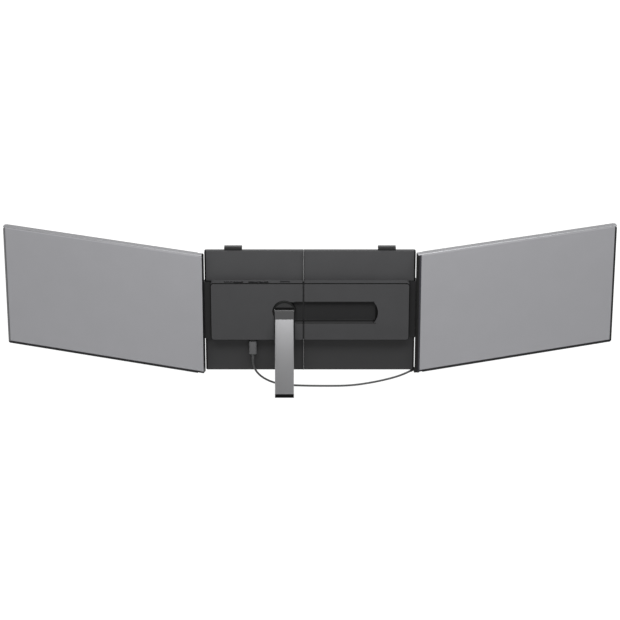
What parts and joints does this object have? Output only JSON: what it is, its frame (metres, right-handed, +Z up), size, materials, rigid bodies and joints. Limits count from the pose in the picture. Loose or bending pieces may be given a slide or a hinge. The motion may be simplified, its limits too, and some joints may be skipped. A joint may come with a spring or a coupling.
{
  "type": "laptop screen extender",
  "caption": "Sliding back unit that hooks on a laptop lid, with a folding display hinged on each side, a swivelling kickstand and a hub linked by a short cord.",
  "frame": {"origin": "on the face that lies on the laptop's lid, half way up, midway between the two display hinges", "axes": "+X to the right seen from behind the lid, +Y out of the lid face towards the laptop's user, +Z up"},
  "size_m": [0.9283, 0.1473, 0.2265],
  "materials": {
    "plate_plastic": "fine matt texture",
    "housing_plastic": "fine matt texture",
    "pad_rubber": "matt",
    "screw_steel": "blackened",
    "arm_metal": "black anodised",
    "pin_steel": "ground",
    "black_plastic": "satin",
    "spine_plastic": "satin",
    "board_green": "solder mask",
    "socket_steel": "plated",
    "cover_silver": "fine blasted, anodised",
    "panel_module": "black",
    "screen_glass": "polished, dark when off",
    "disc_dark": "dark anodised",
    "leg_silver": "brushed, anodised",
    "foot_rubber": "matt",
    "clip_dark": "satin",
    "cord_jacket": "satin"
  },
  "bodies": {
    "left_half": {"left_backplate": "plate_plastic", "left_front_cover": "plate_plastic", "left_lid_pads": "pad_rubber", "left_cover_screws": "screw_steel", "left_housing": "housing_plastic", "left_arm_screws": "screw_steel", "left_hinge_arm": "arm_metal", "left_hinge_pin": "pin_steel", "slide_rails": "pin_steel", "inner_sleeve": "black_plastic", "main_board": "board_green", "port_shells": "socket_steel", "lower_socket": "socket_steel", "button_switch": "board_green", "left_clip_spring": "pin_steel", "plug_tip": "socket_steel", "plug_body": "cord_jacket", "strain_relief": "cord_jacket", "cord": "cord_jacket"},
    "right_half": {"right_backplate": "plate_plastic", "right_front_cover": "plate_plastic", "right_lid_pads": "pad_rubber", "right_cover_screws": "screw_steel", "right_housing": "housing_plastic", "right_arm_screws": "screw_steel", "right_hinge_arm": "arm_metal", "right_hinge_pin": "pin_steel", "rail_guides": "black_plastic", "right_clip_spring": "pin_steel", "cord_gland": "black_plastic"},
    "left_display": {"left_display_frame": "black_plastic", "left_display_back_cover": "cover_silver", "left_display_hinge_spine": "black_plastic", "left_display_lcd_panel": "panel_module", "left_display_front_glass": "screen_glass", "left_display_driver_board": "board_green"},
    "right_display": {"right_display_frame": "black_plastic", "right_display_back_cover": "cover_silver", "right_display_hinge_spine": "spine_plastic", "right_display_lcd_panel": "panel_module", "right_display_front_glass": "screen_glass", "right_display_driver_board": "board_green"},
    "kickstand_disc": {"swivel_disc": "disc_dark", "swivel_washer": "black_plastic", "swivel_screw": "screw_steel", "tilt_pin": "pin_steel"},
    "kickstand_leg": {"leg_root": "disc_dark", "leg_blade": "leg_silver", "rubber_foot": "foot_rubber"},
    "left_clip": {"left_clip": "clip_dark", "left_clip_pad": "pad_rubber"},
    "right_clip": {"right_clip": "clip_dark", "right_clip_pad": "pad_rubber"},
    "menu_button": {"menu_button": "black_plastic"}
  },
  "joints": [
    {"name": "halves_slide", "type": "slide", "parent": "left_half", "child": "right_half", "axis": [1, 0, 0], "range_m": [0, 0.03]},
    {"name": "left_display_hinge", "type": "hinge", "parent": "left_half", "child": "left_display", "pos_m": [-0.1613, -0.0054, 0], "axis": [0, 0, -1], "range_deg": [-19, 161]},
    {"name": "right_display_hinge", "type": "hinge", "parent": "right_half", "child": "right_display", "pos_m": [0.1605, 0.0013, 0], "axis": [0, 0, 1], "range_deg": [-19, 161]},
    {"name": "kickstand_swivel", "type": "hinge", "parent": "left_half", "child": "kickstand_disc", "pos_m": [-0.0384, -0.015, 0.0048], "axis": [0, -1, 0], "range_deg": [0, 90]},
    {"name": "kickstand_tilt", "type": "hinge", "parent": "kickstand_disc", "child": "kickstand_leg", "pos_m": [-0.0384, -0.016, 0.0048], "axis": [1, 0, 0], "range_deg": [-45, 15]},
    {"name": "left_clip_slide", "type": "slide", "parent": "left_half", "child": "left_clip", "axis": [0, 0, 1], "range_m": [0, 0.025], "stiffness_N_per_m": 120, "springref_m": -0.02, "deforming": ["left_clip_spring"]},
    {"name": "right_clip_slide", "type": "slide", "parent": "right_half", "child": "right_clip", "axis": [0, 0, 1], "range_m": [0, 0.025], "stiffness_N_per_m": 120, "springref_m": -0.02, "deforming": ["right_clip_spring"]},
    {"name": "button_press", "type": "slide", "parent": "left_half", "child": "menu_button", "axis": [0, 0, -1], "range_m": [0, 0.0006], "stiffness_N_per_m": 800, "springref_m": -0.0004}
  ]
}
